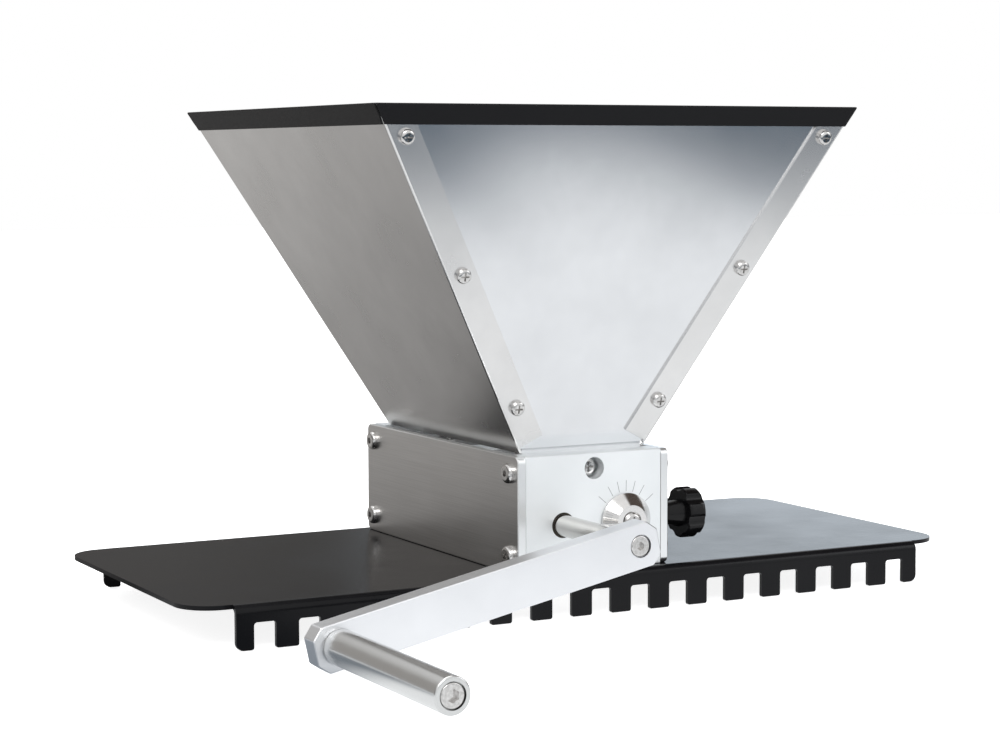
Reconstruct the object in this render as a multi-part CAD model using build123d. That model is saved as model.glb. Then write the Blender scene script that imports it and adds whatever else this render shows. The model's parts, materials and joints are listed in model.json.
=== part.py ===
from build123d import *
import math
import os

# Two-roller grain mill with a sheet hopper, a hand crank and a comb-edged base plate.
# Millimetres. Origin under the middle of the mill body, at the height of the tooth tips,
# which the mill stands on. +X runs along the long side of the base plate, the crank is
# on the -Y side, +Z is up.

# ---- base plate: one bent sheet with a comb flange along each long side
SHEET = 2.0
BASE_LENGTH = 405.4
BASE_DEPTH = 179.0
BASE_TOP = 20.0
BASE_UNDERSIDE = BASE_TOP - SHEET
BEND_RADIUS = 4.0
CORNER_RADIUS = 17.0
COMB_LENGTH = 364.6
SLOT_COUNT = 17
SLOT_PITCH = 21.1
SLOT_WIDTH = 10.4
SLOT_TOP = 12.0
SLOT_ROUND = 1.5
TOOTH_ROUND = 1.0
END_TOOTH_ROUND = 3.5
DISCHARGE_X = 62.0
DISCHARGE_Y = 125.0
DISCHARGE_ROUND = 3.0

# ---- mill body: two end plates tied together by two side covers
BODY_DEPTH = 165.0
BODY_HEIGHT = 55.0
BODY_TOP = BASE_TOP + BODY_HEIGHT
PLATE_WIDTH = 73.0
PLATE_THICKNESS = 19.0
COVER_THICKNESS = 4.0
COVER_CORNER = 3.0
EDGE_BREAK = 0.4
FRONT = BODY_DEPTH / 2
INNER = FRONT - PLATE_THICKNESS
PLATE_SIDE = PLATE_WIDTH / 2
COVER_FACE = PLATE_SIDE + COVER_THICKNESS

# ---- rollers and their bearings
ROLLER_R = 16.0
ROLLER_LENGTH = 126.0
FLUTES = 48
FLUTE_DEPTH = 0.6
SHAFT_R = 5.0
AXIS_Z = BASE_TOP + 22.0
DRIVE_X = -16.5
DIAL_X = 17.0
ECCENTRICITY = 1.0
BUSH_OUTER_R = 6.0
BUSH_LENGTH = 15.0
RUNNING = 0.05
ECCENTRIC_R = 11.0
ECCENTRIC_BORE_DEPTH = 13.0
TONGUE = (4.0, 16.0, 1.5)

# ---- gap dial on each end plate
DIAL_GAP = 0.2
DIAL_R = 13.0
DIAL_NOSE_R = 7.8
DIAL_RIM = 1.0
DIAL_LENGTH = 6.0
DIAL_COUNTERBORE = (5.0, 1.5)

# ---- lock knobs on the right side cover
LOCK_Y = 73.0
STUD_R = 3.0
STUD_TIP_GAP = 0.15
KNOB_HUB_X = 43.0
KNOB_HEAD_X = 52.0
KNOB_END_X = 61.0
KNOB_R = 12.2
KNOB_LOBES = 7
KNOB_HUB_R = 6.8
KNOB_HUB_TIP_R = 4.8

# ---- hopper: four folded sheets, measured on their inner faces
PANEL = 1.2
HOPPER_Z0 = BODY_TOP + 2.5
SIDE_SHEET_Z0 = BODY_TOP + 0.4
HOPPER_Z1 = 235.7
HOPPER_BOTTOM = (33.3, 69.25)
HOPPER_TOP = (123.96, 110.86)
FLANGE_WIDTH = 15.7
FLANGE_TIP_RISE = 8.0
FOLD_ROUND = 1.0
LIP_LENGTH = 15.5
REBATE_Z = 59.5
TRIM_HEIGHT = 9.2
TRIM_WALL = 0.9
TRIM_CAP = 1.2
TRIM_MITRE_GAP = 0.3
TRIM_CORNER = 1.6
TRIM_EDGE = 0.5
TRIM_RELIEF = (2.6, 6.0)
HOPPER_SCREW_Z = (97.5, 160.0, 221.5)
HOPPER_SCREW_INSET = 8.0
FIXING_Z = 67.8
FIXING_COUNTERBORE = (5.2, 9.0)
FIXING_SCREW_LENGTH = 9.5

# ---- crank
CRANK_RADIUS = 148.0
CRANK_DROOP = 11.9
ARM_WIDTH = 20.0
ARM_THICKNESS = 10.0
ARM_END = 9.5
ARM_TIP = 10.8
ARM_CORNER = 4.5
ARM_FRONT = 152.0
DRIVE_FLATS = 8.0
DRIVE_END = 148.9
CRANK_COUNTERBORE_R = 5.2
GRIP_R = 7.75
GRIP_END = 256.0
WASHER_THICKNESS = 1.0
GRIP_GAP = 0.15
GRIP_RECESS = 3.65
GRIP_RECESS_PLAY = 0.35
CRANK_SCREW_LENGTH = 14.0

# ---- screws: (head radius, head height, shank radius)
M4_PAN = (3.6, 2.6, 2.0)
M5_PAN = (4.6, 3.4, 2.5)
M5_BUTTON = (4.7, 2.8, 2.5)
M6_BUTTON = (5.25, 3.3, 3.0)
M5_FLAT = (4.6, 2.0, 2.5)
BUTTON_CROWN = 0.6
FLAT_CROWN = 0.25

SIDE_SCREW_Y = 74.5
SIDE_SCREW_Z = (BASE_TOP + 8.5, BASE_TOP + 47.0)
SIDE_SCREW_REACH = 27.0
BASE_SCREW_XY = (14.0, 73.0)
BASE_SCREW_TOP = BASE_TOP + 8.0


def block(x, y, z):
    """A box between two limits along each axis."""
    size = (x[1] - x[0], y[1] - y[0], z[1] - z[0])
    return Pos(x[0], y[0], z[0]) * Box(*size, align=(Align.MIN, Align.MIN, Align.MIN))


def rod(start, direction, length, radius):
    """A round bar from a point along a direction."""
    place = Plane(origin=start, z_dir=direction).location
    return place * Cylinder(radius, length, align=(Align.CENTER, Align.CENTER, Align.MIN))


def mirror_y(shape):
    return mirror(shape, about=Plane.XZ)


def hex_prism(across_flats, height):
    prism = extrude(RegularPolygon(across_flats / 2, 6, major_radius=False), height)
    return prism


def screw(size, length, hex_size=0.0, crown=BUTTON_CROWN):
    """A screw seated at the origin, head up and shank down, with a hex or a cross recess."""
    head_r, head_h, shank_r = size
    head = Cylinder(head_r, head_h, align=(Align.CENTER, Align.CENTER, Align.MIN))
    head = fillet(head.edges().group_by(Axis.Z)[-1], head_h * crown)
    if hex_size:
        recess = hex_prism(hex_size, head_h)
    else:
        arm = head_r * 1.1
        recess = Box(arm, head_r * 0.22, head_h) + Box(head_r * 0.22, arm, head_h)
        recess = Pos(0, 0, head_h / 2) * recess
    head -= Pos(0, 0, head_h * 0.3) * recess
    shank = Cylinder(shank_r, length, align=(Align.CENTER, Align.CENTER, Align.MAX))
    shank = chamfer(shank.edges().group_by(Axis.Z)[0], shank_r * 0.2)
    return head + shank


def placed_screw(seat, outward, size, length, hex_size=0.0, crown=BUTTON_CROWN):
    return Plane(origin=seat, z_dir=outward).location * screw(size, length, hex_size, crown)


def countersink(size):
    """The cone of a flat head screw, its wide face down at the origin."""
    head_r, head_h, shank_r = size
    return Cone(head_r, shank_r, head_h, align=(Align.CENTER, Align.CENTER, Align.MIN))


def hex_nut(face, outward, across_flats, height, bore_r):
    """A nut that lies on a face and grows along the given direction."""
    nut = hex_prism(across_flats, height)
    nut -= Cylinder(bore_r, height, align=(Align.CENTER, Align.CENTER, Align.MIN))
    return Plane(origin=face, z_dir=outward).location * nut


# ---------------------------------------------------------------- base plate

def comb_flange():
    """The front comb: a strip folded down from the sheet, with square slots open below."""
    outer = BASE_DEPTH / 2
    bend_y, bend_z = BEND_RADIUS - outer, BASE_TOP - BEND_RADIUS
    section = [
        Line((-outer, 0), (-outer, bend_z)),
        CenterArc((bend_y, bend_z), BEND_RADIUS, 180, -90),
        Line((bend_y, BASE_TOP), (bend_y, BASE_UNDERSIDE)),
        CenterArc((bend_y, bend_z), BEND_RADIUS - SHEET, 90, 90),
        Line((SHEET - outer, bend_z), (SHEET - outer, 0)),
        Line((SHEET - outer, 0), (-outer, 0)),
    ]
    flange = extrude(Plane.YZ * make_face(Curve() + section), COMB_LENGTH / 2, both=True)
    ends = flange.edges().filter_by(Axis.Y).group_by(Axis.Z)[0]
    flange = fillet(ends, END_TOOTH_ROUND)
    depth = SHEET + 2.0
    for index in range(SLOT_COUNT):
        x = (index - (SLOT_COUNT - 1) / 2) * SLOT_PITCH
        slot = Pos(x, 0, SLOT_TOP / 2 - 1) * Box(SLOT_WIDTH, depth, SLOT_TOP + 2)
        slot = fillet(slot.edges().filter_by(Axis.Y).group_by(Axis.Z)[-1], SLOT_ROUND)
        flare = Pos(x, 0, 0) * (
            Box(SLOT_WIDTH + 2 * TOOTH_ROUND, depth, 2 * TOOTH_ROUND)
            - Pos(SLOT_WIDTH / 2 + TOOTH_ROUND, 0, TOOTH_ROUND)
            * Rot(90, 0, 0) * Cylinder(TOOTH_ROUND, depth)
            - Pos(-SLOT_WIDTH / 2 - TOOTH_ROUND, 0, TOOTH_ROUND)
            * Rot(90, 0, 0) * Cylinder(TOOTH_ROUND, depth))
        flange -= Pos(0, SHEET / 2 - outer, 0) * (slot + flare)
    return flange


def base_plate():
    flat_depth = BASE_DEPTH - 2 * BEND_RADIUS
    outline = RectangleRounded(BASE_LENGTH, flat_depth, CORNER_RADIUS)
    plate = Pos(0, 0, BASE_UNDERSIDE) * extrude(outline, SHEET)
    opening = RectangleRounded(DISCHARGE_X, DISCHARGE_Y, DISCHARGE_ROUND)
    plate -= Pos(0, 0, BASE_UNDERSIDE) * extrude(opening, SHEET)
    flange = comb_flange()
    plate = plate + flange + mirror_y(flange)
    x, y = BASE_SCREW_XY
    for sx in (-1, 1):
        for sy in (-1, 1):
            plate -= Pos(sx * x, sy * y, BASE_UNDERSIDE) * countersink(M5_FLAT)
    return plate


def base_screws():
    """Flat head screws from below, level with the underside so that the mill lies flat."""
    x, y = BASE_SCREW_XY
    head_h = M5_FLAT[1]
    shank = rod((0, 0, head_h), (0, 0, 1), BASE_SCREW_TOP - BASE_UNDERSIDE - head_h, M5_FLAT[2])
    flat_screw = countersink(M5_FLAT) + shank - hex_prism(3.0, head_h * 0.8)
    return [Pos(sx * x, sy * y, BASE_UNDERSIDE) * flat_screw for sx in (-1, 1) for sy in (-1, 1)]


# ---------------------------------------------------------------- mill body

def end_plate():
    """The front end plate; the rear one is its mirror image."""
    plate = block((-PLATE_SIDE, PLATE_SIDE), (-FRONT, -INNER), (BASE_TOP, BODY_TOP))
    plate = chamfer(plate.edges(), EDGE_BREAK)
    lip_y = HOPPER_BOTTOM[1] + panel_run(1)
    plate -= block((-PLATE_SIDE, PLATE_SIDE), (-lip_y, -INNER + 1), (REBATE_Z, BODY_TOP + 1))
    plate -= rod((DRIVE_X, -FRONT, AXIS_Z), (0, 1, 0), PLATE_THICKNESS, BUSH_OUTER_R)
    plate -= rod((DIAL_X, -FRONT, AXIS_Z), (0, 1, 0), PLATE_THICKNESS, ECCENTRIC_R + RUNNING)
    bore_r, bore_depth = FIXING_COUNTERBORE
    plate -= rod((0, -FRONT, FIXING_Z), (0, 1, 0), PLATE_THICKNESS, M5_PAN[2] + 0.2)
    plate -= rod((0, -FRONT, FIXING_Z), (0, 1, 0), bore_depth, bore_r)
    drilled = PLATE_SIDE - SIDE_SCREW_REACH + 1.0
    for side in (-1, 1):
        for z in SIDE_SCREW_Z:
            plate -= rod((side * PLATE_SIDE, -SIDE_SCREW_Y, z), (-side, 0, 0), drilled, M5_BUTTON[2])
        plate -= rod((side * BASE_SCREW_XY[0], -BASE_SCREW_XY[1], BASE_TOP), (0, 0, 1),
                     BASE_SCREW_TOP - BASE_TOP + 1.0, M5_FLAT[2])
    plate -= rod((PLATE_SIDE, -LOCK_Y, AXIS_Z), (-1, 0, 0),
                 PLATE_SIDE - DIAL_X - ECCENTRIC_R / 2, STUD_R + RUNNING)
    return plate


def side_cover(side):
    inner, outer = sorted((side * PLATE_SIDE, side * COVER_FACE))
    cover = block((inner, outer), (-FRONT, FRONT), (BASE_TOP, BODY_TOP))
    cover = fillet(cover.edges().filter_by(Axis.X), COVER_CORNER)
    cover = chamfer(cover.faces().sort_by(Axis.X)[-1 if side > 0 else 0].edges(), EDGE_BREAK)
    for sy in (-1, 1):
        for z in SIDE_SCREW_Z:
            cover -= rod((inner, sy * SIDE_SCREW_Y, z), (1, 0, 0), COVER_THICKNESS, 2.8)
        if side > 0:
            cover -= rod((inner, sy * LOCK_Y, AXIS_Z), (1, 0, 0), COVER_THICKNESS, 3.6)
    return cover


def side_cover_screws():
    length = COVER_FACE - SIDE_SCREW_REACH
    return [placed_screw((side * COVER_FACE, sy * SIDE_SCREW_Y, z), (side, 0, 0), M5_BUTTON, length, 3.0)
            for side in (-1, 1) for sy in (-1, 1) for z in SIDE_SCREW_Z]


# ---------------------------------------------------------------- rollers

def fluted_barrel():
    """A roller body: straight V grooves all round, with chamfered ends."""
    points = []
    for index in range(2 * FLUTES):
        radius = ROLLER_R - (index % 2) * FLUTE_DEPTH
        angle = math.pi * index / FLUTES
        points.append((radius * math.cos(angle), radius * math.sin(angle)))
    barrel = extrude(Polygon(*points, align=None), ROLLER_LENGTH / 2, both=True)
    limit = chamfer(Cylinder(ROLLER_R, ROLLER_LENGTH).edges(), 1.0)
    return Rot(90, 0, 0) * (barrel & limit)


def drive_roller():
    half = ROLLER_LENGTH / 2
    place = Pos(DRIVE_X, 0, AXIS_Z)
    front = rod((0, -half, 0), (0, -1, 0), DRIVE_END - half, SHAFT_R)
    arm_back = ARM_FRONT - ARM_THICKNESS
    for side in (-1, 1):
        flat = sorted((side * DRIVE_FLATS / 2, side * (SHAFT_R + 1)))
        front -= Rot(0, -CRANK_DROOP, 0) * block((-SHAFT_R, SHAFT_R), (-DRIVE_END, -arm_back), flat)
    front -= rod((0, -DRIVE_END, 0), (0, 1, 0), CRANK_SCREW_LENGTH + 2.0, M5_BUTTON[2])
    rear = rod((0, half, 0), (0, 1, 0), FRONT - 1.0 - half, SHAFT_R)
    rear = chamfer(rear.edges().group_by(Axis.Y)[-1], 0.5)
    return place * (fluted_barrel() + front + rear)


def idle_roller():
    half = ROLLER_LENGTH / 2
    journal = ECCENTRIC_BORE_DEPTH + 0.5
    shape = fluted_barrel()
    for sy in (-1, 1):
        shape += rod((0, sy * half, 0), (0, sy, 0), journal, SHAFT_R)
    return Pos(DIAL_X, 0, AXIS_Z - ECCENTRICITY) * shape


def drive_bush():
    start = (DRIVE_X, -FRONT + 0.3, AXIS_Z)
    sleeve = rod(start, (0, 1, 0), BUSH_LENGTH, BUSH_OUTER_R)
    return sleeve - rod(start, (0, 1, 0), BUSH_LENGTH, SHAFT_R + RUNNING)


def eccentric_bush():
    """The front bush: its outside turns in the end plate, its bore is off centre."""
    face = FRONT + DIAL_GAP
    length = face - INNER - 0.5
    bush = rod((DIAL_X, -face, AXIS_Z), (0, 1, 0), length, ECCENTRIC_R)
    bush = chamfer(bush.edges().filter_by(GeomType.CIRCLE).group_by(Axis.Y)[-1], 0.5)
    bush -= rod((DIAL_X, -INNER - 0.5, AXIS_Z - ECCENTRICITY), (0, -1, 0),
                ECCENTRIC_BORE_DEPTH + 0.5, SHAFT_R + RUNNING)
    width, length, height = TONGUE
    bush += Pos(DIAL_X, -face - height / 2, AXIS_Z) * Box(width, height, length)
    bush -= rod((DIAL_X, -face - height, AXIS_Z), (0, 1, 0), 4.3 + height, M5_PAN[2])
    return bush


def gap_dial():
    """The graduated cone that turns the eccentric bush."""
    face = FRONT + DIAL_GAP
    profile = Polyline((0, 0), (DIAL_R, 0), (DIAL_R, DIAL_RIM), (DIAL_NOSE_R + 0.4, DIAL_LENGTH - 0.4),
                       (DIAL_NOSE_R, DIAL_LENGTH), (0, DIAL_LENGTH), close=True)
    cone = revolve(Plane.XZ * make_face(profile), Axis.Z)
    cone = Plane(origin=(DIAL_X, -face, AXIS_Z), z_dir=(0, -1, 0)).location * cone
    width, length, height = TONGUE
    cone -= Pos(DIAL_X, -face - height / 2, AXIS_Z) * Box(width, height, length)
    cone -= rod((DIAL_X, -face, AXIS_Z), (0, -1, 0), DIAL_LENGTH, M5_PAN[2])
    bore_r, bore_depth = DIAL_COUNTERBORE
    return cone - rod((DIAL_X, -face - DIAL_LENGTH, AXIS_Z), (0, 1, 0), bore_depth, bore_r)


def dial_screw():
    under_head = DIAL_LENGTH - DIAL_COUNTERBORE[1]
    seat = FRONT + DIAL_GAP + under_head
    return placed_screw((DIAL_X, -seat, AXIS_Z), (0, -1, 0), M5_PAN, under_head + 4.0)


# ---------------------------------------------------------------- lock knobs

def lock_stud():
    """A threaded stud moulded into the knob; its tip bears on the eccentric bush."""
    tip = DIAL_X + ECCENTRIC_R + STUD_TIP_GAP
    stud = rod((tip, -LOCK_Y, AXIS_Z), (1, 0, 0), KNOB_HEAD_X + 3.0 - tip, STUD_R)
    return chamfer(stud.edges().group_by(Axis.X)[0], 0.6)


def lock_knob():
    """A star knob: lobes around a dished head, on a short hub."""
    depth = KNOB_END_X - KNOB_HEAD_X
    head = Cylinder(KNOB_R, depth, align=(Align.CENTER, Align.CENTER, Align.MIN))
    head = fillet(head.edges().group_by(Axis.Z)[-1], 2.0)
    head = fillet(head.edges().group_by(Axis.Z)[0], 1.2)
    for index in range(KNOB_LOBES):
        angle = 360.0 * index / KNOB_LOBES
        scallop = Cylinder(4.0, 3 * depth)
        head -= Rot(0, 0, angle) * Pos(KNOB_R + 2.2, 0, 0) * scallop
    hub_length = KNOB_HEAD_X - KNOB_HUB_X
    hub = Pos(0, 0, -hub_length) * Cone(KNOB_HUB_TIP_R, KNOB_HUB_R, hub_length,
                                        align=(Align.CENTER, Align.CENTER, Align.MIN))
    dish = Pos(0, 0, depth - 0.8) * Cylinder(5.5, 1.0, align=(Align.CENTER, Align.CENTER, Align.MIN))
    knob = head + hub - dish
    knob = Plane(origin=(KNOB_HEAD_X, -LOCK_Y, AXIS_Z), z_dir=(1, 0, 0)).location * knob
    return knob - rod((KNOB_HUB_X, -LOCK_Y, AXIS_Z), (1, 0, 0),
                      KNOB_HEAD_X + 3.0 - KNOB_HUB_X, STUD_R)


# ---------------------------------------------------------------- hopper

def inner_half(axis, z):
    """Half the inside width of the hopper along X (0) or Y (1) at a height."""
    low, high = HOPPER_BOTTOM[axis], HOPPER_TOP[axis]
    return low + (high - low) * (z - HOPPER_Z0) / (HOPPER_Z1 - HOPPER_Z0)


def inner_half_at(axis, extra):
    """The hopper's inside half width with a fixed amount added, as a function of the level."""
    return lambda z: inner_half(axis, z) + extra


def slope(axis):
    """How far a wall leans out for each millimetre of height."""
    return (HOPPER_TOP[axis] - HOPPER_BOTTOM[axis]) / (HOPPER_Z1 - HOPPER_Z0)


def panel_run(axis):
    """The horizontal thickness of a leaning sheet."""
    return PANEL * math.hypot(1.0, slope(axis))


def tapered(z_low, z_high, corners):
    """A solid between two levels; corners(z) gives its outline at a level."""
    low = Pos(0, 0, z_low) * Polygon(*corners(z_low), align=None)
    high = Pos(0, 0, z_high) * Polygon(*corners(z_high), align=None)
    return loft([low, high], ruled=True)


def rectangle_at(x_limits, y_limits):
    """The outline of a sheet at a level, from its limits as functions of the level."""
    def corners(z):
        x0, x1 = x_limits(z)
        y0, y1 = y_limits(z)
        return [(x0, y0), (x1, y0), (x1, y1), (x0, y1)]
    return corners


def hopper_seats():
    """The twelve screw seats on the flanges' outer faces, with their outward directions."""
    seats = []
    lean = math.atan(slope(1))
    for z in HOPPER_SCREW_Z:
        x = inner_half(0, z) + panel_run(0) - HOPPER_SCREW_INSET
        y = inner_half(1, z) + 2 * panel_run(1)
        for sx in (-1, 1):
            for sy in (-1, 1):
                outward = Vector(0, sy * math.cos(lean), -math.sin(lean))
                seats.append((Vector(sx * x, sy * y, z), outward))
    return seats


def drill_hopper_holes(shape):
    """Cuts every hopper screw's hole that meets the given sheet."""
    for seat, outward in hopper_seats():
        shape -= rod(seat + outward, -outward, 2 * PANEL + 2.0, M4_PAN[2])
    return shape


def front_panel():
    """A flat sheet between the side panels, with a lip that hangs in the end plate's rebate."""
    top = HOPPER_Z1 - TRIM_CAP
    run = panel_run(1)
    sheet = tapered(HOPPER_Z0, top, rectangle_at(
        lambda z: (-inner_half(0, z), inner_half(0, z)),
        lambda z: (-inner_half(1, z) - run, -inner_half(1, z))))
    x, y = inner_half(0, SIDE_SHEET_Z0), HOPPER_BOTTOM[1]
    lip = block((-x, x), (-y - run, -y), (HOPPER_Z0 - LIP_LENGTH, HOPPER_Z0))
    panel = sheet + lip
    panel -= rod((0, -FRONT, FIXING_Z), (0, 1, 0), PLATE_THICKNESS, M5_PAN[2])
    return drill_hopper_holes(panel)


def left_panel():
    """A side sheet, folded round both corners into narrow flanges."""
    top = HOPPER_Z1 - TRIM_CAP
    run_x, run_y = panel_run(0), panel_run(1)
    panel = tapered(SIDE_SHEET_Z0, top, rectangle_at(
        lambda z: (-inner_half(0, z) - run_x, -inner_half(0, z)),
        lambda z: (-inner_half(1, z) - 2 * run_y, inner_half(1, z) + 2 * run_y)))
    flange = tapered(HOPPER_Z0, top, rectangle_at(
        lambda z: (-inner_half(0, z) - run_x, -inner_half(0, z) - run_x + FLANGE_WIDTH),
        lambda z: (-inner_half(1, z) - 2 * run_y, -inner_half(1, z) - run_y)))
    lean = math.degrees(math.atan2(FLANGE_TIP_RISE, FLANGE_WIDTH))
    tip = (-inner_half(0, HOPPER_Z0) - run_x, 0, HOPPER_Z0)
    reach = 4 * FLANGE_WIDTH
    offcut = block((-reach, reach), (-BODY_DEPTH, BODY_DEPTH), (-reach, 0))
    flange -= Pos(*tip) * Rot(0, -lean, 0) * offcut
    panel = panel + flange + mirror_y(flange)
    height = top - HOPPER_Z0
    folds = [edge for edge in panel.edges() if edge.length > height
             and abs(edge.center().Y) > inner_half(1, edge.center().Z) + 1.5 * run_y
             and edge.center().X < -inner_half(0, edge.center().Z) - run_x / 2]
    panel = fillet(folds, FOLD_ROUND)
    return drill_hopper_holes(panel)


def hopper_screws():
    return [placed_screw(seat, outward, M4_PAN, 7.0) for seat, outward in hopper_seats()]


def hopper_nuts():
    return [hex_nut(seat - 2 * PANEL * outward, -outward, 7.0, 3.2, M4_PAN[2])
            for seat, outward in hopper_seats()]


def fixing_screw():
    seat = -FRONT + FIXING_COUNTERBORE[1]
    return placed_screw((0, seat, FIXING_Z), (0, -1, 0), M5_PAN, FIXING_SCREW_LENGTH)


def fixing_nut():
    return hex_nut((0, -HOPPER_BOTTOM[1], FIXING_Z), (0, 1, 0), 8.0, 4.0, M5_PAN[2])


def trim_half(axis, z):
    """Half the outside width of the trimmed rim along X (0) or Y (1) at a height."""
    return inner_half(axis, z) + (1 + axis) * panel_run(axis) + TRIM_WALL


def trim_envelope():
    """The outside of all four trims, with rounded corners and a softened top edge."""
    low = HOPPER_Z1 - TRIM_HEIGHT
    outlines = [Pos(0, 0, z) * RectangleRounded(2 * trim_half(0, z), 2 * trim_half(1, z), TRIM_CORNER)
                for z in (low, HOPPER_Z1)]
    envelope = loft(outlines, ruled=True)
    return fillet(envelope.edges().group_by(Axis.Z)[-1], TRIM_EDGE)


def relief_cuts():
    """Wedges cut from the ends of the side trims, where the sheets' folded corners show."""
    width, height = TRIM_RELIEF
    low = HOPPER_Z1 - TRIM_HEIGHT
    foot = trim_half(1, low)
    head = trim_half(1, low + height)
    wedge = Polygon((-foot - 2.0, low - 2.0), (-foot + width, low - 2.0), (-foot + width, low),
                    (-head + TRIM_MITRE_GAP, low + height), (-head - 2.0, low + height), align=None)
    wedge = extrude(Plane.YZ * wedge, trim_half(0, HOPPER_Z1) + 2.0, both=True)
    return wedge + mirror_y(wedge)


def edge_trim(axis):
    """A U channel pushed over the top edges, mitred at the corners: the -X (0) or -Y (1) strip."""
    inner = [inner_half_at(0, -TRIM_WALL), inner_half_at(1, -TRIM_WALL)]
    outer = [inner_half_at(0, panel_run(0) + TRIM_WALL), inner_half_at(1, 2 * panel_run(1) + TRIM_WALL)]
    other = 1 - axis

    def ordered(across, along):
        return (across, along) if axis == 0 else (along, across)

    def channel(z):
        a_in, a_out = inner[axis](z), outer[axis](z)
        b_in = inner[other](z) - TRIM_MITRE_GAP
        b_out = outer[other](z) - TRIM_MITRE_GAP
        return [ordered(-a_out, -b_out), ordered(-a_in, -b_in),
                ordered(-a_in, b_in), ordered(-a_out, b_out)]

    sheets = panel_run(axis) * (1 if axis == 0 else 2)

    def slot(z):
        a_in = inner_half(axis, z)
        b = outer[other](z) + 5.0
        return [ordered(-a_in - sheets, -b), ordered(-a_in, -b),
                ordered(-a_in, b), ordered(-a_in - sheets, b)]

    low = HOPPER_Z1 - TRIM_HEIGHT
    strip = tapered(low, HOPPER_Z1, channel) & trim_envelope()
    strip -= tapered(low - 2.0, HOPPER_Z1 - TRIM_CAP, slot)
    return strip - relief_cuts() if axis == 0 else strip


# ---------------------------------------------------------------- crank

def along_crank(distance, y):
    """A point on the arm's centre line, at a distance from the shaft."""
    angle = math.radians(CRANK_DROOP)
    return (DRIVE_X - distance * math.cos(angle), y, AXIS_Z - distance * math.sin(angle))


def crank_arm():
    """A flat bar with cut corners, keyed on the flats of the drive shaft."""
    length = ARM_END + CRANK_RADIUS + ARM_TIP
    middle = (ARM_END - CRANK_RADIUS - ARM_TIP) / 2
    bar = Pos(middle, -ARM_FRONT + ARM_THICKNESS / 2, 0) * Box(length, ARM_THICKNESS, ARM_WIDTH)
    bar = chamfer(bar.edges().filter_by(Axis.Y), ARM_CORNER)
    bar = fillet(bar.edges().filter_by(Axis.Y), 1.5)
    bar = chamfer(bar.faces().sort_by(Axis.Y)[0].edges(), EDGE_BREAK)
    key = rod((0, -ARM_FRONT, 0), (0, 1, 0), ARM_THICKNESS, SHAFT_R)
    key &= block((-SHAFT_R, SHAFT_R), (-ARM_FRONT, ARM_THICKNESS - ARM_FRONT),
                 (-DRIVE_FLATS / 2, DRIVE_FLATS / 2))
    bar -= key
    bar -= rod((0, -ARM_FRONT, 0), (0, 1, 0), ARM_FRONT - DRIVE_END, CRANK_COUNTERBORE_R)
    bar -= rod((-CRANK_RADIUS, -ARM_FRONT, 0), (0, 1, 0), ARM_THICKNESS, M6_BUTTON[2])
    return Pos(DRIVE_X, 0, AXIS_Z) * Rot(0, -CRANK_DROOP, 0) * bar


def crank_screw():
    return placed_screw((DRIVE_X, -DRIVE_END, AXIS_Z), (0, -1, 0), M5_BUTTON, CRANK_SCREW_LENGTH, 3.5,
                        FLAT_CROWN)


def handle_washer():
    start = along_crank(CRANK_RADIUS, -ARM_FRONT)
    ring = rod(start, (0, -1, 0), WASHER_THICKNESS, 6.5)
    return ring - rod(start, (0, -1, 0), WASHER_THICKNESS, STUD_R)


def handle_grip():
    """A turned sleeve that spins on the handle bolt, recessed at its outer end for the bolt head."""
    start = ARM_FRONT + WASHER_THICKNESS + GRIP_GAP
    centre = along_crank(CRANK_RADIUS, -start)
    grip = rod(centre, (0, -1, 0), GRIP_END - start, GRIP_R)
    grip = fillet(grip.edges().filter_by(GeomType.CIRCLE).group_by(Axis.Y)[0], 0.8)
    grip = chamfer(grip.edges().filter_by(GeomType.CIRCLE).group_by(Axis.Y)[-1], 0.6)
    grip -= rod(centre, (0, -1, 0), GRIP_END - start, STUD_R + RUNNING)
    grip -= rod(along_crank(CRANK_RADIUS, -GRIP_END), (0, 1, 0), GRIP_RECESS,
                 M6_BUTTON[0] + GRIP_RECESS_PLAY)
    return grip


def handle_bolt():
    seat = GRIP_END - GRIP_RECESS + GRIP_GAP
    return placed_screw(along_crank(CRANK_RADIUS, -seat), (0, -1, 0), M6_BUTTON,
                        seat - ARM_FRONT + ARM_THICKNESS - 0.5, 5.0, FLAT_CROWN)


# ---------------------------------------------------------------- export

def write(node, shape):
    solids = shape if isinstance(shape, list) else [shape]
    export_step(Compound(children=solids) if len(solids) > 1 else solids[0], f"parts/{node}.step")


def main():
    os.makedirs("parts", exist_ok=True)
    write("base_plate", base_plate())
    write("base_screws", base_screws())
    write("left_side_cover", side_cover(-1))
    write("right_side_cover", side_cover(1))
    write("side_cover_screws", side_cover_screws())
    write("drive_roller", drive_roller())
    write("idle_roller", idle_roller())
    mirrored_pairs = {
        "end_plate": end_plate,
        "drive_bush": drive_bush,
        "eccentric_bush": eccentric_bush,
        "gap_dial": gap_dial,
        "dial_screw": dial_screw,
        "lock_stud": lock_stud,
        "lock_knob": lock_knob,
        "hopper_panel": front_panel,
        "hopper_fixing_screw": fixing_screw,
        "hopper_fixing_nut": fixing_nut,
    }
    for name, make in mirrored_pairs.items():
        shape = make()
        write(f"front_{name}", shape)
        write(f"rear_{name}", mirror_y(shape))
    for side, about in (("left", None), ("right", Plane.YZ)):
        for name, shape in (("hopper_panel", left_panel()), ("edge_trim", edge_trim(0))):
            write(f"{side}_{name}", mirror(shape, about=about) if about else shape)
    write("front_edge_trim", edge_trim(1))
    write("rear_edge_trim", mirror_y(edge_trim(1)))
    write("hopper_screws", hopper_screws())
    write("hopper_nuts", hopper_nuts())
    write("crank_arm", crank_arm())
    write("crank_screw", crank_screw())
    write("handle_grip", handle_grip())
    write("handle_bolt", handle_bolt())
    write("handle_washer", handle_washer())


main()
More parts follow.
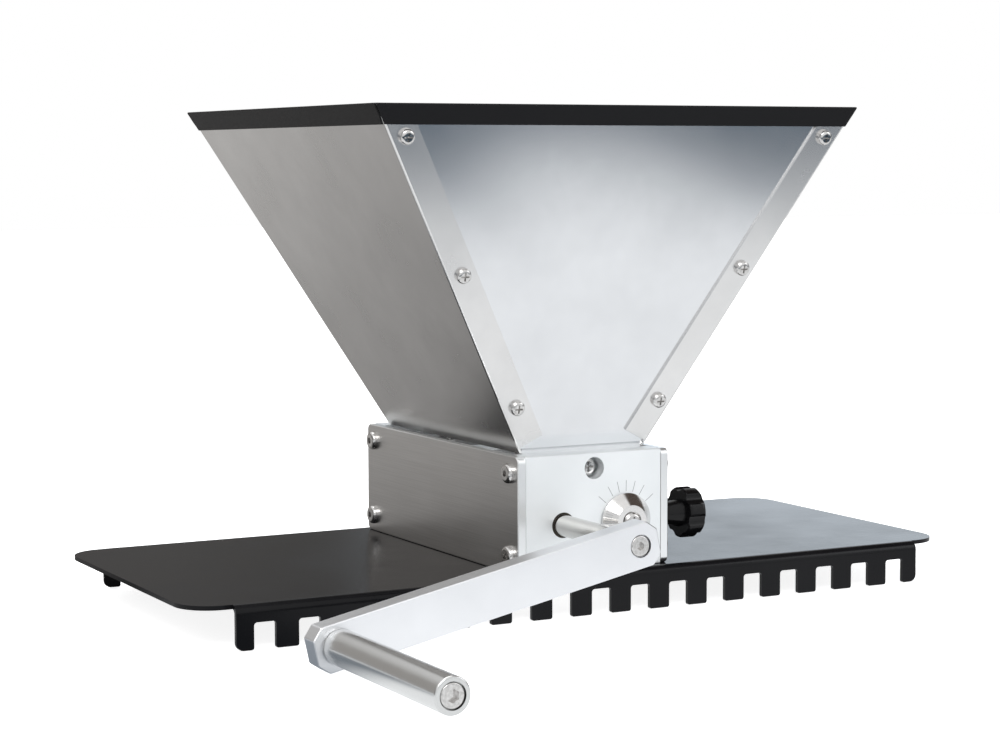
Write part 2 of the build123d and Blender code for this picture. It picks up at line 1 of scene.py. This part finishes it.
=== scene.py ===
import bmesh
import bpy
import json
import math
from mathutils import Matrix, Quaternion, Vector


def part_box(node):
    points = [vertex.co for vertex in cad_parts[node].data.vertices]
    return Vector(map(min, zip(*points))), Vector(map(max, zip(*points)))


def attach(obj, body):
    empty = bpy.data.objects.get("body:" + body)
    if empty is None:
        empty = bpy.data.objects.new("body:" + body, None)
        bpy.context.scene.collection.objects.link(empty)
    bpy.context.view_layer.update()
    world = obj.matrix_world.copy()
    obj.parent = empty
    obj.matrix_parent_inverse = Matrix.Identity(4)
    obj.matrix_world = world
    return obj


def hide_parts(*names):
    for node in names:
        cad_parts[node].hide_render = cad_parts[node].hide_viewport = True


# Looks for the two-roller grain mill. Metres, in the CAD frame: +X along the base plate,
# -Y towards the crank, +Z up, z = 0 at the tooth tips that the mill stands on.
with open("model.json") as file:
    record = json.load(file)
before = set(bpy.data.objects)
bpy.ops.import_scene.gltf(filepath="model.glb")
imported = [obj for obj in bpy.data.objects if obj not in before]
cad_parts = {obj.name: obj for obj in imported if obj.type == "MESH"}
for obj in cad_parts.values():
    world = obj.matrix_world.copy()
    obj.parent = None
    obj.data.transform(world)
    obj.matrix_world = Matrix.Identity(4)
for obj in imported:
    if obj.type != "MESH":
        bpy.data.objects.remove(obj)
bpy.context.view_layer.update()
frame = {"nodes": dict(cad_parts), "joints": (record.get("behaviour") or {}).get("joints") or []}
NODES = frame["nodes"]
JOINTS = {joint["name"]: joint for joint in frame["joints"]}
MM = 0.001


# ---------------------------------------------------------------- shader helpers

class Nodes:
    """Short calls to add nodes to a node tree."""

    def __init__(self, tree):
        self.tree = tree

    def node(self, kind, **values):
        made = self.tree.nodes.new(kind)
        for key, value in values.items():
            setattr(made, key, value)
        return made

    def link(self, output, socket):
        self.tree.links.new(output, socket)

    def parts(self, vector):
        """The X, Y and Z of a vector."""
        made = self.node("ShaderNodeSeparateXYZ")
        self.link(vector, made.inputs[0])
        return made.outputs["X"], made.outputs["Y"], made.outputs["Z"]

    def math(self, operation, first, second=0.0):
        made = self.node("ShaderNodeMath", operation=operation)
        for socket, value in zip(made.inputs, (first, second)):
            if isinstance(value, (int, float)):
                socket.default_value = value
            else:
                self.link(value, socket)
        return made.outputs[0]

    def ramp(self, value, low, high, out_low=0.0, out_high=1.0, shape="LINEAR"):
        """Maps a range of a value to another range, and holds the ends."""
        made = self.node("ShaderNodeMapRange", interpolation_type=shape)
        ends = {"From Min": low, "From Max": high, "To Min": out_low, "To Max": out_high}
        for key, number in ends.items():
            made.inputs[key].default_value = number
        self.link(value, made.inputs["Value"])
        return made.outputs["Result"]

    def smooth(self, value, low, high, out_low=0.0, out_high=1.0):
        return self.ramp(value, low, high, out_low, out_high, "SMOOTHSTEP")

    def mix(self, factor, first, second):
        """A colour between two others, each a tuple or an output, by a value from 0 to 1."""
        made = self.node("ShaderNodeMix", data_type="RGBA")
        self.link(factor, made.inputs["Factor"])
        for key, color in (("A", first), ("B", second)):
            if isinstance(color, tuple):
                made.inputs[key].default_value = (*color, 1.0)
            else:
                self.link(color, made.inputs[key])
        return made.outputs["Result"]

    def colour_ramp(self, value, stops, interpolation="LINEAR"):
        """A colour ramp from (position, colour) pairs in rising order."""
        made = self.node("ShaderNodeValToRGB")
        made.color_ramp.interpolation = interpolation
        elements = made.color_ramp.elements
        elements.remove(elements[0])
        for index, (position, color) in enumerate(stops):
            stop = elements[0] if index == 0 else elements.new(position)
            stop.position = position
            stop.color = (*color, 1.0)
        self.link(value, made.inputs[0])
        return made.outputs[0]

    def by_viewer(self, others, camera):
        """One shader for light and reflections, another for what the camera sees directly."""
        pick = self.node("ShaderNodeMixShader")
        self.link(self.node("ShaderNodeLightPath").outputs["Is Camera Ray"], pick.inputs[0])
        self.link(others, pick.inputs[1])
        self.link(camera, pick.inputs[2])
        return pick.outputs[0]


class Shader(Nodes):
    """A material with a Principled shader and short calls to add surface detail to it."""

    def __init__(self, name, color, metallic, roughness, **sockets):
        self.material = bpy.data.materials.new(name)
        self.material.use_nodes = True
        super().__init__(self.material.node_tree)
        self.bsdf = self.tree.nodes["Principled BSDF"]
        self.bsdf.inputs["Base Color"].default_value = (*color, 1.0)
        self.bsdf.inputs["Metallic"].default_value = metallic
        self.bsdf.inputs["Roughness"].default_value = roughness
        for socket, value in sockets.items():
            self.bsdf.inputs[socket.replace("_", " ")].default_value = value
        self.place = self.node("ShaderNodeTexCoord").outputs["Object"]
        self.height = None

    def stretched(self, scale, turn=(0.0, 0.0, 0.0), centre=(0.0, 0.0, 0.0)):
        """Object coordinates moved to a centre, turned, then scaled along each axis."""
        shift = self.node("ShaderNodeVectorMath", operation="SUBTRACT")
        shift.inputs[1].default_value = centre
        self.link(self.place, shift.inputs[0])
        mapping = self.node("ShaderNodeMapping")
        mapping.inputs["Rotation"].default_value = turn
        self.link(shift.outputs[0], mapping.inputs["Vector"])
        scaled = self.node("ShaderNodeVectorMath", operation="MULTIPLY")
        scaled.inputs[1].default_value = scale
        self.link(mapping.outputs[0], scaled.inputs[0])
        return scaled.outputs[0]

    def noise(self, scale, detail=3.0, vector=None, roughness=0.5):
        made = self.node("ShaderNodeTexNoise")
        made.inputs["Scale"].default_value = scale
        made.inputs["Detail"].default_value = detail
        made.inputs["Roughness"].default_value = roughness
        self.link(vector or self.place, made.inputs["Vector"])
        return made.outputs["Fac"]

    def colour(self, output):
        self.link(output, self.bsdf.inputs["Base Color"])

    def tint(self, value, dark, light):
        """Colours the surface between two colours by a value from 0 to 1."""
        self.colour(self.mix(value, dark, light))

    def rough(self, value):
        self.link(value, self.bsdf.inputs["Roughness"])

    def bump(self, value, strength, distance):
        """Adds a bump on top of those already there."""
        made = self.node("ShaderNodeBump")
        made.inputs["Strength"].default_value = strength
        made.inputs["Distance"].default_value = distance
        self.link(value, made.inputs["Height"])
        if self.height:
            self.link(self.height, made.inputs["Normal"])
        self.height = made.outputs["Normal"]
        self.link(self.height, self.bsdf.inputs["Normal"])


def paint(shader, *names):
    """Gives CAD nodes a material."""
    for name in names:
        NODES[name].data.materials.clear()
        NODES[name].data.materials.append(shader.material)


# ---------------------------------------------------------------- materials

def powder_coat():
    """Semi-gloss black powder coat with a faint orange peel and fine dust."""
    coat = Shader("powder_coat", (0.006, 0.006, 0.007), 0.0, 0.2, Specular_IOR_Level=0.13, Coat_Weight=0.05,
                  Coat_Roughness=0.12)
    peel = coat.noise(420.0, 2.0)
    haze = coat.noise(24.0, 4.0)
    coat.tint(coat.ramp(haze, 0.35, 0.7), (0.004, 0.004, 0.005), (0.007, 0.007, 0.008))
    coat.rough(coat.ramp(haze, 0.3, 0.75, 0.16, 0.26))
    coat.bump(peel, 0.10, 0.0004)
    return coat


def blasted_aluminium():
    """Fine bead-blasted aluminium, pale and even."""
    metal = Shader("blasted_aluminium", (0.77, 0.80, 0.81), 1.0, 0.48)
    grain = metal.noise(2600.0, 2.0)
    cloud = metal.noise(38.0, 4.0)
    metal.tint(metal.ramp(cloud, 0.3, 0.7), (0.845, 0.87, 0.88), (0.90, 0.92, 0.93))
    metal.rough(metal.ramp(cloud, 0.3, 0.7, 0.44, 0.54))
    metal.bump(grain, 0.25, 0.00006)
    return metal


def brushed_steel():
    """Stainless side cover: face brushed along its length, cut edges coloured pale as a painted highlight.
    """
    metal = Shader("brushed_steel", (0.60, 0.585, 0.57), 1.0, 0.32, Anisotropic=0.4)
    lines = metal.noise(1.0, 3.0, metal.stretched((2600.0, 22.0, 2600.0)))
    smear = metal.noise(30.0, 3.0)
    face = metal.mix(metal.ramp(lines, 0.3, 0.7), (0.55, 0.54, 0.53), (0.63, 0.62, 0.61))
    normal_x = metal.parts(metal.node("ShaderNodeTexCoord").outputs["Normal"])[0]
    sideways = metal.math("ABSOLUTE", normal_x)
    # painted highlight: faces not turned along X, the cover's cut edges, take a pale colour
    metal.colour(metal.mix(metal.ramp(sideways, 0.55, 0.9), (0.86, 0.875, 0.88), face))
    metal.rough(metal.ramp(smear, 0.3, 0.7, 0.28, 0.36))
    metal.bump(lines, 0.10, 0.00003)
    return metal


def sheet_steel(name, dark, light, roughness):
    """The hopper's satin sheet: cloudy, slightly wavy, with faint smudges."""
    metal = Shader(name, light, 1.0, roughness)
    cloud = metal.noise(26.0, 6.0, roughness=0.62)
    smudge = metal.noise(9.0, 4.0)
    grain = metal.noise(1.0, 2.0, metal.stretched((900.0, 900.0, 160.0)))
    both = metal.math("ADD", metal.math("MULTIPLY", cloud, 0.65), metal.math("MULTIPLY", smudge, 0.35))
    metal.tint(metal.ramp(both, 0.34, 0.66), dark, light)
    metal.rough(metal.ramp(both, 0.34, 0.66, roughness * 1.1, roughness * 0.9))
    metal.bump(grain, 0.10, 0.00004)
    metal.bump(metal.noise(6.0, 0.0), 0.02, 0.002)
    return metal


def black_trim():
    """Matte black edge trim."""
    trim = Shader("black_trim", (0.006, 0.006, 0.007), 0.0, 0.45, Specular_IOR_Level=0.18)
    grain = trim.noise(1500.0, 3.0)
    trim.rough(trim.ramp(grain, 0.3, 0.7, 0.38, 0.52))
    trim.bump(grain, 0.25, 0.00008)
    return trim


def polished_fasteners():
    """Stainless screw heads, with fine scratches."""
    metal = Shader("fastener_steel", (0.62, 0.61, 0.60), 1.0, 0.2)
    mark = metal.noise(700.0, 4.0)
    metal.tint(metal.ramp(mark, 0.35, 0.65), (0.52, 0.51, 0.50), (0.70, 0.69, 0.68))
    metal.rough(metal.ramp(mark, 0.3, 0.7, 0.09, 0.2))
    metal.bump(mark, 0.06, 0.00004)
    return metal


def turned_metal(name, dark, light, roughness, centre, pitch, depth):
    """Metal turned on a lathe about an axis along Y: fine rings round the axis and along it."""
    metal = Shader(name, light, 1.0, roughness)
    offset = metal.stretched((1.0, 1.0, 1.0), centre=centre)
    x, y, z = metal.parts(offset)
    squares = metal.math("ADD", metal.math("POWER", x, 2.0), metal.math("POWER", z, 2.0))
    along = metal.math("ADD", metal.math("SQRT", squares), metal.math("ABSOLUTE", y))
    join = metal.node("ShaderNodeCombineXYZ")
    metal.link(metal.math("DIVIDE", along, pitch), join.inputs["X"])
    rings = metal.noise(1.0, 3.0, join.outputs[0])
    metal.tint(metal.ramp(rings, 0.3, 0.7), dark, light)
    metal.rough(metal.ramp(metal.noise(60.0, 3.0), 0.3, 0.7, roughness * 0.85, roughness * 1.2))
    metal.bump(rings, 0.3, depth)
    return metal


def satin_bar(centre, droop):
    """The crank's flat bar: pale satin aluminium, faintly brushed along its length."""
    metal = Shader("satin_bar", (0.88, 0.89, 0.91), 1.0, 0.36)
    lines = metal.noise(1.0, 3.0, metal.stretched((40.0, 1800.0, 1800.0), (0.0, droop, 0.0), centre))
    cloud = metal.noise(45.0, 3.0)
    metal.tint(metal.ramp(cloud, 0.3, 0.7), (0.86, 0.87, 0.89), (0.90, 0.91, 0.93))
    metal.rough(metal.ramp(lines, 0.3, 0.7, 0.32, 0.40))
    metal.bump(lines, 0.12, 0.00004)
    return metal


def knob_plastic():
    """Glossy black moulded plastic, slightly scuffed."""
    plastic = Shader("knob_plastic", (0.003, 0.003, 0.0035), 0.0, 0.2, Specular_IOR_Level=0.25)
    scuff = plastic.noise(220.0, 4.0)
    plastic.rough(plastic.ramp(scuff, 0.35, 0.7, 0.15, 0.27))
    plastic.bump(plastic.noise(900.0, 2.0), 0.12, 0.00006)
    return plastic


def roller_steel(face_y):
    """Dark machined steel of the rollers and bushes; the shaft outside the end plate is ground bright."""
    metal = Shader("roller_steel", (0.36, 0.36, 0.365), 1.0, 0.34)
    stain = metal.noise(90.0, 4.0)
    blend = 0.2 * MM
    outside = metal.ramp(metal.parts(metal.place)[1], face_y - blend, face_y + blend, 1.0, 0.0)
    dull = metal.mix(metal.ramp(stain, 0.3, 0.75), (0.27, 0.265, 0.26), (0.46, 0.46, 0.465))
    metal.colour(metal.mix(outside, dull, (0.56, 0.55, 0.53)))
    worn = metal.ramp(stain, 0.3, 0.7, 0.28, 0.46)
    metal.rough(metal.math("SUBTRACT", worn, metal.math("MULTIPLY", outside, 0.17)))
    metal.bump(metal.noise(1.0, 2.0, metal.stretched((400.0, 3000.0, 400.0))), 0.15, 0.00005)
    return metal


def bush_bronze():
    """Sintered bronze sleeve, coloured near black as painted shade for the recess it sits in behind the end
    plate.
    """
    # painted shade: a near-black colour stands in for the shadow in the bush's recess
    metal = Shader("bush_bronze", (0.06, 0.054, 0.048), 1.0, 0.5)
    stain = metal.noise(300.0, 4.0)
    metal.tint(stain, (0.035, 0.033, 0.03), (0.09, 0.078, 0.065))
    metal.bump(stain, 0.1, 0.00005)
    return metal


def nylon():
    """The pale washer between grip and arm."""
    plastic = Shader("nylon", (0.80, 0.80, 0.77), 0.0, 0.45)
    plastic.bump(plastic.noise(700.0, 2.0), 0.1, 0.00005)
    return plastic


def etch():
    """The dark fill of etched scale lines."""
    ink = Shader("etched_line", (0.16, 0.16, 0.17), 0.4, 0.6)
    wear = ink.noise(1800.0, 3.0)
    ink.tint(wear, (0.20, 0.20, 0.21), (0.42, 0.42, 0.43))
    return ink


# ---------------------------------------------------------------- pieces made here

def mesh_piece(name, build, shader, body, smooth=False):
    """Makes a mesh with bmesh, gives it a material and lets it ride on a CAD body."""
    bm = bmesh.new()
    build(bm)
    mesh = bpy.data.meshes.new(name)
    bm.to_mesh(mesh)
    bm.free()
    for face in mesh.polygons:
        face.use_smooth = smooth
    mesh.materials.append(shader.material)
    piece = bpy.data.objects.new(name, mesh)
    bpy.context.scene.collection.objects.link(piece)
    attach(piece, body)
    return piece


def slab(bm, centre, along, across, size):
    """A thin box lying on a surface: its length, width and thickness follow three directions."""
    along, across = along.normalized(), across.normalized()
    axes = Matrix((along, across, along.cross(across))).transposed().to_4x4()
    matrix = Matrix.Translation(centre) @ axes @ Matrix.Diagonal((*size, 1.0))
    bmesh.ops.create_cube(bm, size=1.0, matrix=matrix)


def around(angle):
    """Outward direction in the plane of the end plates; 0 is +X and 90 degrees is up."""
    return Vector((math.cos(angle), 0.0, math.sin(angle)))


def tangent(angle):
    return Vector((-math.sin(angle), 0.0, math.cos(angle)))


def plate_scale(axis, face_y, outward):
    """Radial lines etched in an end plate round its dial, closest together at the middle one."""
    middle_angle = math.radians(88.8)
    sine_step = 0.26
    lines_each_side = 3
    radius = 16.4 * MM
    size = (5.2 * MM, 0.26 * MM, 0.03 * MM)
    centre = Vector((axis.x, face_y + outward * 0.005 * MM, axis.z))

    def build(bm):
        for index in range(-lines_each_side, lines_each_side + 1):
            angle = middle_angle + math.asin(sine_step * index)
            slab(bm, centre + around(angle) * radius, around(angle), tangent(angle), size)
    return build


def dial_scale(axis, box, outward):
    """Graduations on the dial's cone, from near its rim to near its nose."""
    rim_y = box[1].y if outward < 0 else box[0].y
    rim_r, nose_r, rim_depth, nose_depth = 13.0 * MM, 8.2 * MM, 1.0 * MM, 5.6 * MM
    first_angle, step, lines = 221.0, 5.5, 13
    near_rim, short_reach, long_reach, long_every = 0.12, 0.66, 0.92, 4
    width, thickness = 0.24 * MM, 0.03 * MM

    def on_cone(angle, share):
        radius = rim_r + (nose_r - rim_r) * share
        depth = rim_depth + (nose_depth - rim_depth) * share
        return Vector((axis.x, rim_y + outward * depth, axis.z)) + around(angle) * radius

    def build(bm):
        for index in range(lines):
            angle = math.radians(first_angle - step * index)
            reach = long_reach if index % long_every == 0 else short_reach
            start, end = on_cone(angle, near_rim), on_cone(angle, reach)
            size = ((end - start).length, width, thickness)
            slab(bm, (start + end) / 2, end - start, tangent(angle), size)
    return build


def thread(box, axis, pitch=1.0 * MM, root=0.32 * MM, turns=32, steps=8):
    """A threaded rod along X that fills a CAD stud's box, with a chamfered tip."""
    start, end = box[0].x, box[1].x
    radius = (box[1].z - box[0].z) / 2
    tip_share, tip_length = 0.8, 0.6 * MM
    rows = int((end - start) / pitch * steps)

    def build(bm):
        rings = []
        for row in range(rows + 1):
            x = start + (end - start) * row / rows
            tip = min(1.0, tip_share + (1.0 - tip_share) * (x - start) / tip_length)
            ring = []
            for step in range(turns):
                phase = ((x - start) / pitch + step / turns) % 1.0
                depth = root * abs(2.0 * phase - 1.0)
                angle = math.tau * step / turns
                r = min(radius - depth, radius * tip)
                ring.append(bm.verts.new((x, axis.y + r * math.cos(angle), axis.z + r * math.sin(angle))))
            rings.append(ring)
        for low, high in zip(rings, rings[1:]):
            for step in range(turns):
                follow = (step + 1) % turns
                bm.faces.new((low[step], low[follow], high[follow], high[step]))
        bm.faces.new(list(reversed(rings[0])))
        bm.faces.new(rings[-1])
        bmesh.ops.recalc_face_normals(bm, faces=bm.faces)
    return build


# ---------------------------------------------------------------- dress the model

def dress():
    crank_axis = Vector(JOINTS["crank_turn"]["pos_m"])
    grip_axis = Vector(JOINTS["grip_spin"]["pos_m"])
    dial_axis = Vector(JOINTS["front_dial_turn"]["pos_m"])
    reach = grip_axis - crank_axis
    droop = math.atan2(-reach.z, -reach.x)
    knob_axis = Vector(JOINTS["front_knob_turn"]["pos_m"])

    screws = polished_fasteners()
    rollers = roller_steel(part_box("front_end_plate")[0].y)
    etched = etch()
    bronze = bush_bronze()
    knobs = knob_plastic()
    paint(powder_coat(), "base_plate")
    paint(blasted_aluminium(), "front_end_plate", "rear_end_plate")
    paint(brushed_steel(), "left_side_cover", "right_side_cover")
    paint(sheet_steel("sheet_steel", (0.72, 0.73, 0.745), (0.785, 0.795, 0.81), 0.20),
          "front_hopper_panel", "rear_hopper_panel")
    # painted shade: the side panels take a warmer, slightly darker copy of the same sheet, for the light
    # their angle catches
    paint(sheet_steel("side_sheet_painted_shade", (0.69, 0.685, 0.68), (0.78, 0.775, 0.77), 0.26),
          "left_hopper_panel", "right_hopper_panel")
    paint(black_trim(), *(f"{side}_edge_trim" for side in ("front", "rear", "left", "right")))
    paint(screws, "base_screws", "side_cover_screws", "hopper_screws", "hopper_nuts")
    paint(screws, "crank_screw", "handle_bolt")
    paint(rollers, "drive_roller", "idle_roller")
    paint(nylon(), "handle_washer")
    paint(satin_bar(tuple(crank_axis), droop), "crank_arm")
    grip = turned_metal("turned_grip", (0.62, 0.625, 0.62), (0.72, 0.725, 0.72), 0.2,
                        tuple(grip_axis), 0.25 * MM, 0.00004)
    paint(grip, "handle_grip")
    dial = turned_metal("turned_dial", (0.66, 0.65, 0.64), (0.80, 0.79, 0.78), 0.12,
                        tuple(dial_axis), 0.2 * MM, 0.00003)

    for end, outward in (("front", -1), ("rear", 1)):
        paint(screws, f"{end}_dial_screw", f"{end}_hopper_fixing_screw", f"{end}_hopper_fixing_nut")
        paint(rollers, f"{end}_eccentric_bush")
        paint(bronze, f"{end}_drive_bush")
        paint(knobs, f"{end}_lock_knob")
        paint(dial, f"{end}_gap_dial")
        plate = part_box(f"{end}_end_plate")
        face_y = plate[0].y if outward < 0 else plate[1].y
        mesh_piece(f"{end}_plate_scale", plate_scale(dial_axis, face_y, outward), etched,
                   "mill_frame")
        mesh_piece(f"{end}_dial_scale", dial_scale(dial_axis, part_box(f"{end}_gap_dial"), outward), etched,
                   f"{end}_dial")
        stud_axis = Vector((0.0, outward * abs(knob_axis.y), knob_axis.z))
        stud = mesh_piece(f"{end}_stud_thread", thread(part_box(f"{end}_lock_stud"), stud_axis), screws,
                          f"{end}_knob", smooth=True)
        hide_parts(f"{end}_lock_stud")


# ---------------------------------------------------------------- studio

def studio_world():
    """Light and dark bands round the horizon and white above; plain white to the camera."""
    world = bpy.data.worlds.new("studio")
    bpy.context.scene.world = world
    world.use_nodes = True
    sky = Nodes(world.node_tree)
    sky.tree.nodes.clear()

    # (degrees clockwise from +Y, brightness) all round the horizon
    levels = ((-180, 0.96), (-128, 0.85), (-100, 0.50), (-74, 0.18), (-52, 0.24), (-28, 0.38), (2, 0.30),
              (14, 0.17), (19, 0.19), (24, 0.14), (28, 0.80), (31, 1.25), (42, 1.4), (52, 0.50), (66, 0.10),
              (92, 0.13), (116, 0.82), (140, 0.98), (180, 0.96))
    stops = []
    for degrees, level in levels:
        warmth = -0.09 if 27 < degrees < 48 else 0.04 if -90 < degrees < 100 else -0.01
        stops.append(((degrees + 180.0) / 360.0, (level * (1.0 + warmth), level, level * (1.0 - warmth))))
    horizon_top, white_from = 0.30, 0.62
    white = (1.0, 1.0, 1.0)
    flag_direction = Vector((0.72, 0.04, 0.69)).normalized()
    flag_edge, flag_core = math.radians(34.0), math.radians(24.0)
    flag_color = (0.10, 0.08, 0.07)

    direction = sky.node("ShaderNodeTexCoord").outputs["Generated"]
    x, y, z = sky.parts(direction)
    share = sky.ramp(sky.math("ARCTAN2", x, y), -math.pi, math.pi)
    horizon = sky.colour_ramp(share, stops, "EASE")
    whole = sky.mix(sky.smooth(z, horizon_top, white_from), horizon, white)
    # a dark brown flag hung high on the right, for contrast in the polished metal
    toward = sky.node("ShaderNodeVectorMath", operation="DOT_PRODUCT")
    toward.inputs[1].default_value = flag_direction
    sky.link(direction, toward.inputs[0])
    flag = sky.smooth(toward.outputs["Value"], math.cos(flag_edge), math.cos(flag_core))
    lit = sky.node("ShaderNodeBackground")
    sky.link(sky.mix(flag, whole, flag_color), lit.inputs["Color"])
    plain = sky.node("ShaderNodeBackground")
    plain.inputs["Color"].default_value = (*white, 1.0)
    for background in (lit, plain):
        background.inputs["Strength"].default_value = 1.0
    surface = sky.node("ShaderNodeOutputWorld").inputs["Surface"]
    sky.link(sky.by_viewer(lit.outputs[0], plain.outputs[0]), surface)


def floor():
    """A large table at the tooth tips: plain white to the camera, patterned in reflections, with painted
    shadows of the crank and of the mill in that pattern.
    """
    table_size, table_drop = 12.0, 0.4 * MM
    bpy.ops.mesh.primitive_plane_add(size=table_size, location=(0.0, 0.0, -table_drop))
    table = bpy.context.object
    table.name = "light_table"
    shader = Shader("light_table", (0.90, 0.90, 0.90), 0.0, 0.7)
    along = shader.parts(shader.place)[1]

    def distance(centre):
        length = shader.node("ShaderNodeVectorMath", operation="LENGTH")
        shader.link(shader.stretched((1.0, 1.0, 0.0), centre=(*centre, 0.0)), length.inputs[0])
        return length.outputs["Value"]

    # bright round the mill, out to an edge with a round bulge in it, and darkened under the crank by a
    # painted shadow of the crank and handle
    edge_y, bulge_centre, bulge_radius = -0.43, (0.225, -0.405), 0.102
    # painted shadow of the crank on the table: its centre and how dark it is
    crank_shadow_spot, crank_shadow_level = (-0.185, -0.12), 0.18
    bulge = shader.math("SUBTRACT", bulge_radius, distance(bulge_centre))
    inside = shader.math("MAXIMUM", bulge, shader.math("ADD", along, -edge_y))
    near = shader.math("MULTIPLY", shader.smooth(inside, -0.035, 0.05),
                       shader.smooth(distance(crank_shadow_spot), 0.02, 0.09, crank_shadow_level, 1.0))
    # past that edge dark blue, then bright again
    lit = shader.math("MAXIMUM", near, shader.smooth(along, -0.86, -0.70, 1.0, 0.0))
    front = shader.mix(lit, (0.055, 0.085, 0.12), (1.03, 1.045, 1.06))
    # warm grey past the mill's far side, darkest next to the mill as a painted shadow of it
    stops = [(place, (level * 1.02, level, level * 0.98))
             for place, level in ((0.06, 0.10), (0.16, 0.29), (0.5, 0.37), (1.0, 0.54))]
    behind_and_mill_shadow = shader.colour_ramp(shader.ramp(along, 0.05, 0.75), stops)
    pattern = shader.node("ShaderNodeEmission")
    shader.link(shader.mix(shader.smooth(along, -0.06, 0.10), front, behind_and_mill_shadow), pattern.inputs["Color"])
    glow = shader.node("ShaderNodeEmission")
    glow.inputs["Strength"].default_value = 0.86
    plain = shader.node("ShaderNodeAddShader")
    shader.link(glow.outputs[0], plain.inputs[0])
    shader.link(shader.bsdf.outputs[0], plain.inputs[1])
    surface = shader.tree.nodes["Material Output"].inputs["Surface"]
    shader.link(shader.by_viewer(pattern.outputs[0], plain.outputs[0]), surface)
    table.data.materials.append(shader.material)


def soft_light(name, location, size, power, color=(1.0, 1.0, 1.0)):
    """A rectangular lamp aimed at the mill's middle; its size in metres, its power in watts."""
    target = (0.0, 0.0, 0.1)
    data = bpy.data.lights.new(name, "AREA")
    data.shape = "RECTANGLE"
    data.size, data.size_y = size
    data.energy = power
    data.color = color
    light = bpy.data.objects.new(name, data)
    light.location = location
    light.rotation_euler = (Vector(target) - Vector(location)).to_track_quat("-Z", "Y").to_euler()
    bpy.context.scene.collection.objects.link(light)


def camera():
    """The photograph's viewpoint: a long lens from the front left, a little above."""
    place = (-0.5577, -1.0461, 0.2116)
    yaw, pitch, roll = math.radians(27.80), math.radians(5.14), math.radians(-0.155)
    lens, sensor = 86.4, 36.0
    data = bpy.data.cameras.new("camera")
    data.sensor_width = sensor
    data.lens = lens
    data.clip_start, data.clip_end = 0.05, 50.0
    eye = bpy.data.objects.new("camera", data)
    eye.location = place
    aim = Vector((math.sin(yaw) * math.cos(pitch), math.cos(yaw) * math.cos(pitch), -math.sin(pitch)))
    eye.rotation_euler = (aim.to_track_quat("-Z", "Y") @ Quaternion((0.0, 0.0, 1.0), roll)).to_euler()
    bpy.context.scene.collection.objects.link(eye)
    bpy.context.scene.camera = eye


camera()
dress()
studio_world()
floor()
soft_light("key", location=(-0.9, -1.3, 1.5), size=(1.2, 0.9), power=15.0)
soft_light("fill", location=(1.5, -1.0, 0.9), size=(1.0, 1.0), power=5.0, color=(0.96, 0.98, 1.0))
soft_light("top", location=(0.1, 0.4, 1.9), size=(1.4, 1.0), power=9.0)
bpy.context.scene.view_settings.view_transform = "Standard"
